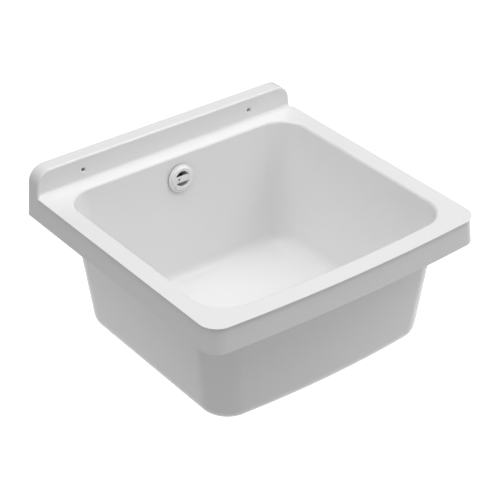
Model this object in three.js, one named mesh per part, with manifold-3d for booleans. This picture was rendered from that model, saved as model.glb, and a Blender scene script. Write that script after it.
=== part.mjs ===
// A wall-hung utility sink: one moulded basin with an upstand, an overflow and a basket waste.
// Millimetres. x runs along the wall, +y points into the wall, +z is up.
// The origin is on the wall, in the middle of the sink, level with the top of the rim.

import * as THREE from 'three';
import { mergeVertices } from 'three/addons/utils/BufferGeometryUtils.js';
import Module from 'manifold-3d';

const wasm = await Module();
wasm.setup();

// ---------------------------------------------------------------- driving sizes

const seatGap = 0.3;            // running or seating gap between separate pieces

const rimWidth = 548.4;         // side to side, at the rim's top edge
const rimDepth = 537.4;         // wall to the middle of the bowed front
const frontBow = 11;            // how far the front swells past its corners
const rimCornerRadius = 28;
const rimEdgeRadius = 4;
const skirtHeight = 47.3;       // the rim's turned-down edge
const skirtDraft = 0.085;       // how much the outside leans out per mm down
const shellWall = 4.5;          // wall of the rim, skirt and upstand

const upstandHeight = 45.1;     // above the rim
const upstandThickness = 27.8;
const upstandCornerRadius = 30;
const upstandEdgeRadius = 4;
const coveRadius = 6;           // between the upstand and the ledge
const screwHoleSpacing = 358.6;
const screwHoleHeight = 19.8;
const screwHoleRadius = 3.5;
const screwBossWall = 4.5;
const ribThickness = 3;
const rimRibHeight = 26;
const rimRibs = 3;              // ribs under each side of the rim and under its front
const sideRibPitch = 107.5;
const frontRibPitch = 137;
const backRibSpacing = 180;

const sideRim = 31.3;           // rim width beside the bowl
const frontRim = 33.4;          // rim width in front of the bowl, in the middle
const ledge = 55.6;             // wall to the bowl's back
const lipRadius = 5;            // round edge from the rim into the bowl
const bowlDepth = 242.5;        // to the edge of the floor
const bowlBow = 12;
const bowlCornerRadius = 52;    // at the top
const bowlFloorCornerRadius = 44;
const sideTaper = 0.101;        // how much the side and front walls lean in per mm down
const backTaper = 0.108;
const bowlWall = 5.5;
const floorFilletRadius = 22;
const floorFall = 2.8;          // fall of the floor to the waste
const drainFromWall = 286;
const recessDepth = 3.7;        // sunk seat of the strainer's flange
const recessMargin = 3;

const overflowDrop = 44;        // rim to the middle of the overflow
const rosetteFlange = 9.8;      // cover's flange beyond its threaded collar
const rosetteEdge = 1.6;        // thickness of the cover at its edge
const rosetteRise = 4.4;        // edge of the cover to its raised face
const rosetteBevel = 7;         // width of the slope round the raised face
const grilleRim = 4.5;          // ring of the raised face round the sunk grille
const grilleSunk = 0.8;
const grilleWall = 2.2;
const grilleBar = 11;           // height of the bar between the two openings
const chainHoleRadius = 1.5;
const chainHoleOffset = 7;
const collarWall = 2.5;         // threaded collar behind the cover
const collarRadius = 17.2;
const collarLength = 16;        // below the bowl's inner face
const collarClear = 2;          // collar's end to the elbow's outlet
const frontSealThickness = 1.5;
const backGasketThickness = 2.5;
const sealMargin = 1;           // how far a seal stays inside the flange over it
const elbowWall = 3;
const elbowFlange = 3;
const elbowFlangeWidth = 5.5;   // flange beyond the chamber
const outletLength = 19;        // elbow's spigot below its chamber

const hoseBoreRadius = 9;
const hoseRootRadius = 10.3;
const hoseCrestRadius = 12;
const hoseCuffRadius = 11;
const hoseCuffLength = 25;
const hoseCollarRadius = 13;    // flange moulded on each end of the hose
const hoseCollarLength = 2.5;
const ribPitch = 6;
const ribsPerBoreRing = 5;
const hoseBendRadius = 50;
const spigotRadius = 13;
const spigotBore = 9.5;
const spigotThread = 9;         // how far a nut runs onto its spigot
const washerThickness = 2;
const nutWall = 4;
const nutLip = 2.5;
const nutGrips = 6;
const nutGripHeight = 1.8;
const nutGripWidth = 4;

const strainerRadius = 45;      // cup, at its top
const strainerFlangeWidth = 12; // flange beyond the cup
const strainerTaper = 4;        // how much narrower the cup is at its foot
const strainerDepth = 34;       // flange to the cup's bottom
const strainerShoulder = 3;     // bend from the cup into its flange
const sheetSteel = 1.2;
const strainerHoles = 8;
const strainerHoleRadius = 4.5;
const strainerHoleCircle = 17;
const topSealThickness = 1.5;
const underGasketThickness = 3;
const flangeFit = 1.5;          // radial room round the strainer's cup

const wasteWall = 3.5;
const wasteCollarWidth = 10;    // collar beyond the chamber
const wasteCollar = 4;
const wasteDepth = 46;          // collar to the start of the cone
const wasteCone = 8;
const outletRadius = 23.9;
const outletWall = 3.9;
const outletTail = 33;          // the cone to the end of the threaded tail
const tailSocket = 6;           // how far the tail is pushed into the body's sleeve
const tailSleeveWall = 3.5;
const inletReach = 72;          // waste axis to the end of the overflow's inlet
const inletDrop = 34;           // collar to the inlet's axis
const hubRadius = 10;
const hubHeight = 16;
const spokes = 3;
const spokeThickness = 4;

const screwRadius = 3.8;
const screwHeadRadius = 7.5;
const screwHeadHeight = 3.4;
const screwSlotWidth = 1.4;
const screwSlotDepth = 1.6;
const screwWasherRadius = 8.2;
const screwWasherThickness = 1;
const screwTip = 2;             // how far the screw's end stays above the hub's foot
const insertRadius = 6;
const insertLength = 11;

const basketRoom = 3.8;         // between the basket's rim and the top of the cup's wall
const basketTaper = 4;
const basketHeight = 22;
const basketSheet = 1;
const basketRim = 2;
const basketDomeHeight = 4.4;
const basketDomeRadius = 11;
const basketDomeSlope = 1.5;
const basketHoleRadius = 2.6;
const basketHoleRows = 2;
const basketHolesPerRow = 14;
const basketRowPitch = 7;
const basketSealRadius = 25;
const basketSealThickness = 2.5;
const postRadius = 3;
const postFootRadius = 5;
const postFootHeight = 1.2;
const postHeight = 20;
const knobRadius = 9;
const knobHeight = 11.5;
const knobCap = 3;              // knob above the post's end
const knobEdge = 2.5;

const roundSides = 24;          // facets of a turned piece
const fineSides = 32;
const smallSides = 16;
const holeSides = 10;
const ringSides = 8;            // points round the hose and its perforations
const chamfer = 1;              // small broken edges
const cornerSteps = 8;          // facets of a corner in plan
const bowSteps = 12;
const sideSteps = 4;            // facets of the bowl's other sides, which the floor's slope needs
const filletSteps = 4;
const reach = 1;                // how far a cutter runs past the face that it opens

// ---------------------------------------------------------------- finishes

function finish(color, roughness, metalness) {
  return new THREE.MeshStandardMaterial({ color, roughness, metalness });
}

const whiteGloss = finish(0xeeeeee, 0.25, 0);
const whiteTrim = finish(0xe4e4e4, 0.3, 0);
const greyPlastic = finish(0xc9ccce, 0.5, 0);
const rubber = finish(0x26282a, 0.85, 0);
const steel = finish(0xb9bcc0, 0.28, 1);
const brass = finish(0xb79a54, 0.35, 1);

// ---------------------------------------------------------------- solids

// A closed geometry with shared vertices merged, slivers dropped and its faces pointing out.
function closed(source) {
  const bare = source.clone();
  bare.deleteAttribute('normal');
  bare.deleteAttribute('uv');
  const merged = mergeVertices(bare, 1e-4);
  const place = merged.getAttribute('position');
  const index = merged.index.array;
  const corner = [new THREE.Vector3(), new THREE.Vector3(), new THREE.Vector3()];
  const faces = [];
  let volume = 0;
  for (let i = 0; i < index.length; i += 3) {
    const face = [index[i], index[i + 1], index[i + 2]];
    if (face[0] === face[1] || face[1] === face[2] || face[2] === face[0]) continue;
    corner.forEach((point, k) => point.fromBufferAttribute(place, face[k]));
    volume += corner[0].dot(corner[1].cross(corner[2]));
    faces.push(face);
  }
  if (volume < 0) faces.forEach((face) => face.reverse());
  merged.setIndex(faces.flat());
  return merged;
}

function solid(geometry) {
  const mesh = closed(geometry);
  const vertProperties = new Float32Array(mesh.getAttribute('position').array);
  const triVerts = new Uint32Array(mesh.index.array);
  return new wasm.Manifold(new wasm.Mesh({ numProp: 3, vertProperties, triVerts }));
}

function surface(body) {
  const mesh = body.getMesh();
  const geometry = new THREE.BufferGeometry();
  geometry.setAttribute('position', new THREE.BufferAttribute(mesh.vertProperties, 3));
  geometry.setIndex(new THREE.BufferAttribute(mesh.triVerts, 1));
  return geometry;
}

const joined = (bodies) => bodies.reduce((whole, body) => whole.add(body));

// A solid turned about z from [radius, height] points; a ring's profile is closed on itself.
function turned(profile, sides = roundSides) {
  const onAxis = profile[0][0] === 0 && profile.at(-1)[0] === 0;
  const points = (onAxis ? profile : [...profile, profile[0]]).map(([r, z]) => new THREE.Vector2(r, z));
  return closed(new THREE.LatheGeometry(points, sides).rotateX(Math.PI / 2));
}

const disc = (radius, low, high, sides) => turned([[0, low], [radius, low], [radius, high], [0, high]], sides);

function ring(inner, outer, low, high, sides) {
  return turned([[inner, low], [outer, low], [outer, high], [inner, high]], sides);
}

function block(x, y, z) {
  const size = [x[1] - x[0], y[1] - y[0], z[1] - z[0]];
  const middle = [(x[0] + x[1]) / 2, (y[0] + y[1]) / 2, (z[0] + z[1]) / 2];
  return closed(new THREE.BoxGeometry(...size).translate(...middle));
}

// A solid through a stack of rings that have the same number of points, flat at both ends.
function loft(rings) {
  const count = rings[0].length;
  const points = rings.flat();
  const faces = [];
  for (let level = 0; level + 1 < rings.length; level += 1) {
    for (let k = 0; k < count; k += 1) {
      const a = level * count + k;
      const b = level * count + (k + 1) % count;
      faces.push(a, b, b + count, a, b + count, a + count);
    }
  }
  [[rings[0], 0], [rings.at(-1), (rings.length - 1) * count]].forEach(([end, first], side) => {
    const middle = end.reduce((sum, point) => sum.add(point), new THREE.Vector3()).divideScalar(count);
    const centre = points.push(middle) - 1;
    for (let k = 0; k < count; k += 1) {
      const a = first + k;
      const b = first + (k + 1) % count;
      if (side === 0) faces.push(centre, b, a);
      else faces.push(centre, a, b);
    }
  });
  const geometry = new THREE.BufferGeometry().setFromPoints(points);
  geometry.setIndex(faces);
  return closed(geometry);
}

// Points of a quarter-round, from 0 to 1 along each of its two axes.
function quarter(steps = filletSteps) {
  const points = [];
  for (let k = 0; k <= steps; k += 1) {
    const angle = (k / steps) * Math.PI / 2;
    points.push([Math.sin(angle), 1 - Math.cos(angle)]);
  }
  return points;
}

function named(name, geometry, material) {
  const mesh = new THREE.Mesh(geometry, material);
  mesh.name = name;
  return mesh;
}

// ---------------------------------------------------------------- plans of the rim and the bowl

const rimHalf = rimWidth / 2;

function arc(cx, cy, radius, from, to, steps = cornerSteps) {
  const points = [];
  for (let k = 0; k <= steps; k += 1) {
    const angle = from + (to - from) * (k / steps);
    points.push([cx + radius * Math.cos(angle), cy + radius * Math.sin(angle)]);
  }
  return points;
}

// The points between the ends of a straight side, which the bow may then bend.
function run(from, to, steps) {
  const points = [];
  for (let k = 1; k < steps; k += 1) {
    const share = k / steps;
    points.push([from[0] + (to[0] - from[0]) * share, from[1] + (to[1] - from[1]) * share]);
  }
  return points;
}

// Bends the front outwards and leaves the back straight; the sides carry the change between them.
const bowed = (points, half, back, front, bow, z) => points.map(([x, y]) => {
  const share = Math.max(0, (y - back) / (front - back));
  return new THREE.Vector3(x, y - bow * (1 - (x / half) ** 2) * share, z);
});

// The rim and skirt's outline: square on the wall, round at the front corners, bowed at the front.
function rimPlan(z, grow, back = 0) {
  const lean = skirtDraft * Math.max(0, -z);
  const half = rimHalf + lean + grow;
  const front = -(rimDepth - frontBow + lean + grow);
  const radius = rimCornerRadius + grow;
  const points = [
    [-half, back],
    ...arc(-half + radius, front + radius, radius, Math.PI, 1.5 * Math.PI),
    ...run([-half + radius, front], [half - radius, front], bowSteps),
    ...arc(half - radius, front + radius, radius, 1.5 * Math.PI, 2 * Math.PI),
    [half, back],
  ];
  return bowed(points, half, 0, front, frontBow, z);
}

// The bowl's outline at a level, grown outwards by a given amount.
function bowlPlan(z, grow) {
  const down = -z;
  const half = rimHalf - sideRim - sideTaper * down + grow;
  const back = -(ledge + backTaper * down) + grow;
  const front = -(rimDepth - frontRim - bowlBow - sideTaper * down + grow);
  const turn = bowlCornerRadius - (bowlCornerRadius - bowlFloorCornerRadius) * (down / bowlDepth);
  const radius = turn + grow;
  const points = [
    ...arc(-half + radius, back - radius, radius, Math.PI / 2, Math.PI),
    ...run([-half, back - radius], [-half, front + radius], sideSteps),
    ...arc(-half + radius, front + radius, radius, Math.PI, 1.5 * Math.PI),
    ...run([-half + radius, front], [half - radius, front], bowSteps),
    ...arc(half - radius, front + radius, radius, 1.5 * Math.PI, 2 * Math.PI),
    ...run([half, front + radius], [half, back - radius], sideSteps),
    ...arc(half - radius, back - radius, radius, 0, Math.PI / 2),
    ...run([half - radius, back], [-half + radius, back], sideSteps),
  ];
  return bowed(points, half, back, front, bowlBow, z);
}

// Ring on a circle about the waste, each point in line with a point of the bowl's outline.
function drainRing(outline, radius, z) {
  return outline.map((point) => {
    const angle = Math.atan2(point.y + drainFromWall, point.x);
    return new THREE.Vector3(radius * Math.cos(angle), -drainFromWall + radius * Math.sin(angle), z);
  });
}

// The bowl's skin from its wall to the waste's rim; grow is 0 inside and the wall's thickness outside.
function bowlRings(grow) {
  const filletRadius = floorFilletRadius + grow;
  const floorZ = -(bowlDepth + grow);
  const wallEnd = floorZ + filletRadius;
  const rings = quarter().map(([along, aside]) => {
    const z = wallEnd - filletRadius * along;
    return bowlPlan(z, grow - filletRadius * aside);
  });
  rings.push(drainRing(rings.at(-1), recessRadius + recessMargin + grow, floorZ - floorFall));
  return rings;
}

const strainerFlangeRadius = strainerRadius + strainerFlangeWidth;
const seatZ = -(bowlDepth + floorFall + recessDepth);
const recessRadius = strainerFlangeRadius + recessMargin;
const floorUnderside = seatZ - bowlWall;

// ---------------------------------------------------------------- overflow: its place on the bowl's back

const wallTilt = Math.atan(backTaper);
const overflowPlace = new THREE.Group();
overflowPlace.position.set(0, -(ledge + backTaper * overflowDrop), -overflowDrop);
overflowPlace.rotation.x = Math.PI / 2 - wallTilt;
overflowPlace.updateMatrix();

const rosetteRadius = collarRadius + rosetteFlange;
const rosetteFaceRadius = rosetteRadius - rosetteBevel;
const grilleRadius = rosetteFaceRadius - grilleRim;
const overflowHoleRadius = collarRadius + 2 * seatGap;
const gasketFace = -(bowlWall + seatGap);
const gasketBack = gasketFace - backGasketThickness;
const elbowFace = gasketBack - seatGap;
const outletAxis = -(collarLength + spigotBore + collarClear);
const chamberRadius = collarRadius + seatGap;
const chamberEnd = outletAxis - spigotBore - seatGap;
const elbowBack = chamberEnd - elbowWall;
const elbowRadius = chamberRadius + elbowWall;
const elbowFlangeRadius = elbowRadius + elbowFlangeWidth;
const outletEnd = -(elbowRadius + outletLength);

// ---------------------------------------------------------------- basin

function upstandOutline(inset, y, foot) {
  const halfAt = (z) => rimHalf - skirtDraft * z - inset;
  const top = upstandHeight - inset;
  const radius = upstandCornerRadius - inset;
  const lean = Math.atan(skirtDraft);
  const centreZ = top - radius;
  const centreX = halfAt(centreZ) - radius / Math.cos(lean);
  const right = arc(centreX, centreZ, radius, lean, Math.PI / 2);
  const left = arc(-centreX, centreZ, radius, Math.PI / 2, Math.PI - lean);
  const points = [[halfAt(foot), foot], ...right, ...left, [-halfAt(foot), foot]];
  return points.map(([x, z]) => new THREE.Vector3(x, y, z));
}

function upstand() {
  const flat = upstandThickness - upstandEdgeRadius;
  const rings = [upstandOutline(0, 0, -rimEdgeRadius)];
  quarter().forEach(([along, aside]) => {
    rings.push(upstandOutline(upstandEdgeRadius * aside, -(flat + upstandEdgeRadius * along), -rimEdgeRadius));
  });
  return solid(loft(rings));
}

function upstandHollow() {
  const foot = -skirtHeight - reach;
  const inner = upstandThickness - shellWall;
  return solid(loft([upstandOutline(shellWall, reach, foot), upstandOutline(shellWall, -inner, foot)]));
}

// The concave strip between the upstand's face and the ledge.
function cove() {
  const face = -upstandThickness;
  const sunk = shellWall / 2;
  const profile = arc(face - coveRadius, coveRadius, coveRadius, 0, -Math.PI / 2, filletSteps + 2);
  const outline = [[face + sunk, coveRadius], ...profile, [face - coveRadius, -sunk], [face + sunk, -sunk]];
  const half = rimHalf - upstandEdgeRadius;
  const section = new THREE.Shape(outline.map(([y, z]) => new THREE.Vector2(y, z)));
  const strip = new THREE.ExtrudeGeometry(section, { depth: 2 * half, bevelEnabled: false });
  const turn = new THREE.Matrix4().set(0, 0, 1, -half, 1, 0, 0, 0, 0, 1, 0, 0, 0, 0, 0, 1);
  return solid(strip.applyMatrix4(turn));
}

function rimBlock() {
  const rings = [rimPlan(-skirtHeight, 0)];
  quarter().forEach(([along, aside]) => {
    rings.push(rimPlan(-rimEdgeRadius * (1 - along), -rimEdgeRadius * aside));
  });
  return solid(loft(rings));
}

function skirtHollow() {
  const foot = rimPlan(-skirtHeight - reach, -shellWall, reach);
  return solid(loft([foot, rimPlan(-shellWall, -shellWall, reach)]));
}

function screwHoles(radius, low, high) {
  return [-1, 1].map((side) => {
    const shape = disc(radius, low, high, smallSides).rotateX(Math.PI / 2);
    return solid(shape.translate(side * screwHoleSpacing / 2, 0, screwHoleHeight));
  });
}

// Places of a row of like things, a pitch apart about a middle.
function spread(count, pitch, middle) {
  const first = middle - pitch * (count - 1) / 2;
  return Array.from({ length: count }, (_, k) => first + k * pitch);
}

// Moulded ribs: upright behind the upstand, and across the channel between skirt and bowl.
function ribs() {
  const half = ribThickness / 2;
  const overflowTop = -(overflowDrop - elbowFlangeRadius) + ribThickness;
  const upright = (x, low) => block([x - half, x + half], [-(ledge + bowlWall), 0], [low, upstandHeight]);
  const bodies = [upright(0, overflowTop)];
  [-1, 1].forEach((side) => {
    bodies.push(upright(side * backRibSpacing / 2, -skirtHeight));
    const ends = [side * (rimHalf - sideRim), side * (rimHalf + shellWall)].sort((a, b) => a - b);
    spread(rimRibs, sideRibPitch, -rimDepth / 2).forEach((y) => {
      bodies.push(block(ends, [y - half, y + half], [-rimRibHeight, 0]));
    });
  });
  spread(rimRibs, frontRibPitch, 0).forEach((x) => {
    bodies.push(block([x - half, x + half], [-rimDepth, -(rimDepth - frontRim)], [-rimRibHeight, 0]));
  });
  return joined(bodies.map(solid));
}

// The space that ribs may fill: everything behind the middle of the shell's wall.
function ribSpace() {
  const sunk = shellWall / 2;
  const under = loft([rimPlan(-skirtHeight + reach, -sunk), rimPlan(-sunk, -sunk)]);
  const foot = -shellWall;
  const behind = loft([upstandOutline(sunk, 0, foot), upstandOutline(sunk, sunk - upstandThickness, foot)]);
  return solid(under).add(solid(behind));
}

function basin() {
  const shell = rimBlock().add(upstand()).subtract(skirtHollow()).subtract(upstandHollow());
  const bosses = screwHoles(screwHoleRadius + screwBossWall, 0, upstandThickness - shellWall / 2);
  const stiffening = ribs().intersect(ribSpace()).add(joined(bosses));

  const skin = solid(loft([bowlPlan(-shellWall / 2, bowlWall), ...bowlRings(bowlWall)]));
  const sump = disc(recessRadius + bowlWall, floorUnderside, seatZ, fineSides);
  const outside = skin.add(solid(sump.translate(0, -drainFromWall, 0)));

  const lip = quarter().map(([along, aside]) => bowlPlan(-lipRadius * aside, lipRadius * (1 - along)));
  const inside = solid(loft([bowlPlan(0, lipRadius).map((p) => p.setZ(reach)), ...lip, ...bowlRings(0)]));
  const recess = disc(recessRadius, seatZ, seatZ + recessDepth + floorFall, fineSides);
  const drain = disc(strainerRadius + flangeFit, floorUnderside - reach, seatZ + reach);
  const opening = solid(recess).add(solid(drain)).translate([0, -drainFromWall, 0]);
  const overflow = disc(overflowHoleRadius, -(bowlWall + reach), reach).applyMatrix4(overflowPlace.matrix);
  const holes = screwHoles(screwHoleRadius, -reach, upstandThickness + reach);

  const moulding = joined([shell, cove(), stiffening, outside]).subtract(inside);
  return moulding.subtract(opening).subtract(solid(overflow)).subtract(joined(holes));
}

// ---------------------------------------------------------------- overflow fittings, z out of the bowl's wall

// Cover: a flange with a raised face, two D openings with a bar between, and a threaded collar.
function rosette() {
  const back = frontSealThickness + 2 * seatGap;
  const edge = back + rosetteEdge;
  const face = edge + rosetteRise;
  const bore = collarRadius - collarWall;
  const grilleFace = face - grilleWall;
  const body = solid(turned([
    [0, grilleFace], [bore, grilleFace], [bore, -collarLength], [collarRadius, -collarLength],
    [collarRadius, back], [rosetteRadius - chamfer, back], [rosetteRadius, back + rosetteEdge / 2],
    [rosetteRadius, edge], [rosetteRadius - chamfer, edge + chamfer],
    [rosetteFaceRadius + chamfer, face - chamfer], [rosetteFaceRadius, face], [grilleRadius, face],
    [grilleRadius - grilleSunk, face - grilleSunk], [0, face - grilleSunk],
  ], fineSides));
  const well = solid(disc(bore - seatGap, grilleFace - reach, face + reach));
  const barDepth = [grilleFace - 2 * reach, face + 2 * reach];
  const bar = solid(block([-rosetteRadius, rosetteRadius], [-grilleBar / 2, grilleBar / 2], barDepth));
  const hole = disc(chainHoleRadius, grilleFace - reach, face + reach, holeSides);
  hole.translate(-chainHoleOffset, 0, 0);
  return surface(body.subtract(well.subtract(bar)).subtract(solid(hole)));
}

// Elbow: a flanged chamber behind the wall with a threaded spigot pointing down.
function elbow() {
  const chamber = solid(turned([
    [0, elbowBack], [elbowRadius - chamfer, elbowBack], [elbowRadius, elbowBack + chamfer],
    [elbowRadius, elbowFace - elbowFlange],
    [elbowFlangeRadius, elbowFace - elbowFlange], [elbowFlangeRadius, elbowFace], [0, elbowFace],
  ]));
  const spigot = disc(spigotRadius, 0, -outletEnd).rotateX(Math.PI / 2).translate(0, 0, outletAxis);
  const bore = disc(spigotBore, 0, -outletEnd + reach).rotateX(Math.PI / 2).translate(0, 0, outletAxis);
  const hollow = solid(disc(chamberRadius, chamberEnd, elbowFace + reach));
  return surface(chamber.add(solid(spigot)).subtract(hollow).subtract(solid(bore)));
}

// ---------------------------------------------------------------- hose joints, z towards the hose

const washerFace = seatGap;
const hoseStart = washerFace + washerThickness + seatGap;
const nutEnd = hoseStart + hoseCollarLength + seatGap + nutLip;

const jointWasher = () => ring(spigotBore, spigotRadius - seatGap, washerFace, washerFace + washerThickness);

// Nut: pulls the hose's end flange and its washer onto the spigot; gripped by its raised bars.
function jointNut() {
  const bore = Math.max(spigotRadius, hoseCollarRadius) + seatGap;
  const mouth = hoseCuffRadius + seatGap;
  const lipFace = nutEnd - nutLip;
  const body = solid(turned([
    [bore, -spigotThread], [bore + nutWall, -spigotThread], [bore + nutWall, nutEnd - chamfer],
    [bore + nutWall - chamfer, nutEnd], [mouth, nutEnd], [mouth, lipFace], [bore, lipFace],
  ]));
  const grips = [];
  for (let k = 0; k < nutGrips; k += 1) {
    const height = [bore + nutWall / 2, bore + nutWall + nutGripHeight];
    const bar = block(height, [-nutGripWidth / 2, nutGripWidth / 2], [-spigotThread, nutEnd - nutLip]);
    grips.push(solid(bar.rotateZ((k + 0.5) * 2 * Math.PI / nutGrips)));
  }
  return surface(body.add(joined(grips)));
}

// The upper joint hangs from the elbow and points down the wall; the lower one leaves the waste's inlet.
const upperJoint = new THREE.Group();
upperJoint.position.set(0, outletEnd, outletAxis);
upperJoint.rotation.x = Math.PI / 2;
overflowPlace.add(upperJoint);

const wastePlace = new THREE.Group();
wastePlace.position.set(0, -drainFromWall, seatZ);

const wasteTop = -(bowlWall + underGasketThickness + 2 * seatGap);
const inletAxis = wasteTop - inletDrop;
const lowerJoint = new THREE.Group();
lowerJoint.position.set(0, inletReach, inletAxis);
lowerJoint.rotation.x = -Math.PI / 2;
wastePlace.add(lowerJoint);

overflowPlace.updateMatrixWorld(true);
wastePlace.updateMatrixWorld(true);

// ---------------------------------------------------------------- hose: ribbed, with plain cuffs

const hoseFrom = new THREE.Vector3(0, 0, hoseStart).applyMatrix4(upperJoint.matrixWorld);
const hoseTo = new THREE.Vector3(0, 0, hoseStart).applyMatrix4(lowerJoint.matrixWorld);
const hoseDown = new THREE.Vector3(0, -Math.sin(wallTilt), -Math.cos(wallTilt));
const hoseTurn = Math.PI / 2 - wallTilt;
const dropLength = (hoseFrom.z - hoseTo.z) / Math.cos(wallTilt);
const hoseCorner = hoseFrom.clone().addScaledVector(hoseDown, dropLength);
const bendTangent = hoseBendRadius * Math.tan(hoseTurn / 2);
const hoseDrop = dropLength - bendTangent;
const hoseBend = hoseBendRadius * hoseTurn;
const hoseRun = hoseCorner.y - hoseTo.y - bendTangent;
const hoseLength = hoseDrop + hoseBend + hoseRun;

// Place and heading of the hose's axis at a distance along it: down, round the bend, then level.
function hoseAt(distance) {
  const heading = Math.min(1, Math.max(0, (distance - hoseDrop) / hoseBend)) * hoseTurn;
  const angle = wallTilt + heading;
  const along = new THREE.Vector3(0, -Math.sin(angle), -Math.cos(angle));
  const side = new THREE.Vector3(0, -Math.cos(angle), Math.sin(angle));
  const place = hoseFrom.clone().addScaledVector(hoseDown, Math.min(distance, hoseDrop));
  if (distance > hoseDrop) {
    place.addScaledVector(hoseDown, hoseBendRadius * Math.sin(heading));
    const across = new THREE.Vector3(0, -Math.cos(wallTilt), Math.sin(wallTilt));
    place.addScaledVector(across, hoseBendRadius * (1 - Math.cos(heading)));
  }
  const past = Math.max(0, distance - hoseDrop - hoseBend);
  return { place: place.addScaledVector(along, past), side };
}

function hoseRing(distance, radius) {
  const { place, side } = hoseAt(distance);
  const points = [];
  for (let k = 0; k < ringSides; k += 1) {
    const angle = (k + 0.5) * 2 * Math.PI / ringSides;
    const point = place.clone().addScaledVector(side, radius * Math.sin(angle));
    point.x += radius * Math.cos(angle);
    points.push(point);
  }
  return points;
}

function hose() {
  const ribbed = hoseLength - 2 * hoseCuffLength;
  const ribCount = Math.round(ribbed / ribPitch);
  const pitch = ribbed / ribCount;
  const outer = [[0, hoseCollarRadius], [hoseCollarLength, hoseCollarRadius], [hoseCollarLength, hoseCuffRadius]];
  for (let k = 0; k < ribCount; k += 1) {
    const start = hoseCuffLength + k * pitch;
    outer.push([start, k === 0 ? hoseCuffRadius : hoseRootRadius]);
    outer.push([start + pitch / 2, hoseCrestRadius]);
  }
  const end = hoseLength - hoseCollarLength;
  outer.push([hoseLength - hoseCuffLength, hoseCuffRadius], [end, hoseCuffRadius]);
  outer.push([end, hoseCollarRadius], [hoseLength, hoseCollarRadius]);
  const bore = [[hoseLength, hoseBoreRadius], [hoseLength - hoseCuffLength, hoseBoreRadius]];
  for (let k = ribCount - ribsPerBoreRing; k > 0; k -= ribsPerBoreRing) {
    bore.push([hoseCuffLength + k * pitch, hoseBoreRadius]);
  }
  bore.push([hoseCuffLength, hoseBoreRadius], [0, hoseBoreRadius]);
  const rings = [...outer, ...bore].map(([distance, radius]) => hoseRing(distance, radius));
  const count = rings[0].length;
  const faces = [];
  rings.forEach((ringPoints, level) => {
    const next = (level + 1) % rings.length;
    for (let k = 0; k < count; k += 1) {
      const turn = (k + 1) % count;
      const [a, b] = [level * count + k, level * count + turn];
      const [c, d] = [next * count + turn, next * count + k];
      faces.push(a, b, c, a, c, d);
    }
  });
  const geometry = new THREE.BufferGeometry().setFromPoints(rings.flat());
  geometry.setIndex(faces);
  return closed(geometry);
}

// ---------------------------------------------------------------- waste, z up from the flange's seat

const flangeUnder = topSealThickness + 2 * seatGap;
const flangeTop = flangeUnder + sheetSteel;
const cupFloor = flangeTop - strainerDepth;
const cupUnder = cupFloor - sheetSteel;
const coneTop = wasteTop - wasteDepth;
const coneEnd = coneTop - wasteCone;
const wasteEnd = coneEnd - outletTail;
const wasteBore = strainerRadius + flangeFit;
const wasteRadius = wasteBore + wasteWall;
const wasteCollarRadius = wasteRadius + wasteCollarWidth;
const strainerFootRadius = strainerRadius - strainerTaper;
const hubTop = coneTop - chamfer;
const hubFoot = hubTop - hubHeight;
const tailBore = outletRadius - outletWall;
const tailSeat = hubFoot - chamfer;

function strainerCup() {
  const shape = solid(turned([
    [0, cupUnder], [strainerFootRadius - strainerShoulder, cupUnder],
    [strainerFootRadius, cupUnder + strainerShoulder], [strainerRadius, flangeUnder - strainerShoulder],
    [strainerRadius + strainerShoulder, flangeUnder], [strainerFlangeRadius, flangeUnder],
    [strainerFlangeRadius, flangeTop], [strainerRadius + strainerShoulder - sheetSteel / 2, flangeTop],
    [strainerRadius - sheetSteel, flangeUnder - strainerShoulder],
    [strainerFootRadius - sheetSteel, cupFloor + strainerShoulder - sheetSteel / 2],
    [strainerFootRadius - strainerShoulder - sheetSteel / 2, cupFloor], [0, cupFloor],
  ], fineSides));
  const cutters = [solid(disc(screwRadius + 2 * seatGap, cupUnder - reach, cupFloor + reach, holeSides))];
  for (let k = 0; k < strainerHoles; k += 1) {
    const angle = (k + 0.5) * 2 * Math.PI / strainerHoles;
    const hole = disc(strainerHoleRadius, cupUnder - reach, cupFloor + reach, holeSides);
    hole.translate(strainerHoleCircle * Math.cos(angle), strainerHoleCircle * Math.sin(angle), 0);
    cutters.push(solid(hole));
  }
  return surface(shape.subtract(joined(cutters)));
}

// Inside of the waste: its chamber, its cone, and the sleeve that takes the tail.
function wasteInside() {
  const sleeveBore = outletRadius + seatGap;
  const foot = tailSeat - tailSocket - reach;
  return solid(turned([
    [0, foot], [sleeveBore, foot], [sleeveBore, tailSeat], [tailBore, tailSeat], [tailBore, coneEnd + chamfer],
    [wasteBore, coneTop + chamfer], [wasteBore, wasteTop + reach], [0, wasteTop + reach],
  ], fineSides));
}

const inletRod = (radius, from, to) => solid(disc(radius, from, to).rotateX(-Math.PI / 2).translate(0, 0, inletAxis));

// The overflow's inlet: a pipe set into the chamber's wall and cut flush with its inside.
function wasteInlet() {
  const bore = inletRod(spigotBore, 0, inletReach + reach);
  return surface(inletRod(spigotRadius, wasteBore / 2, inletReach).subtract(wasteInside()).subtract(bore));
}

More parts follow.
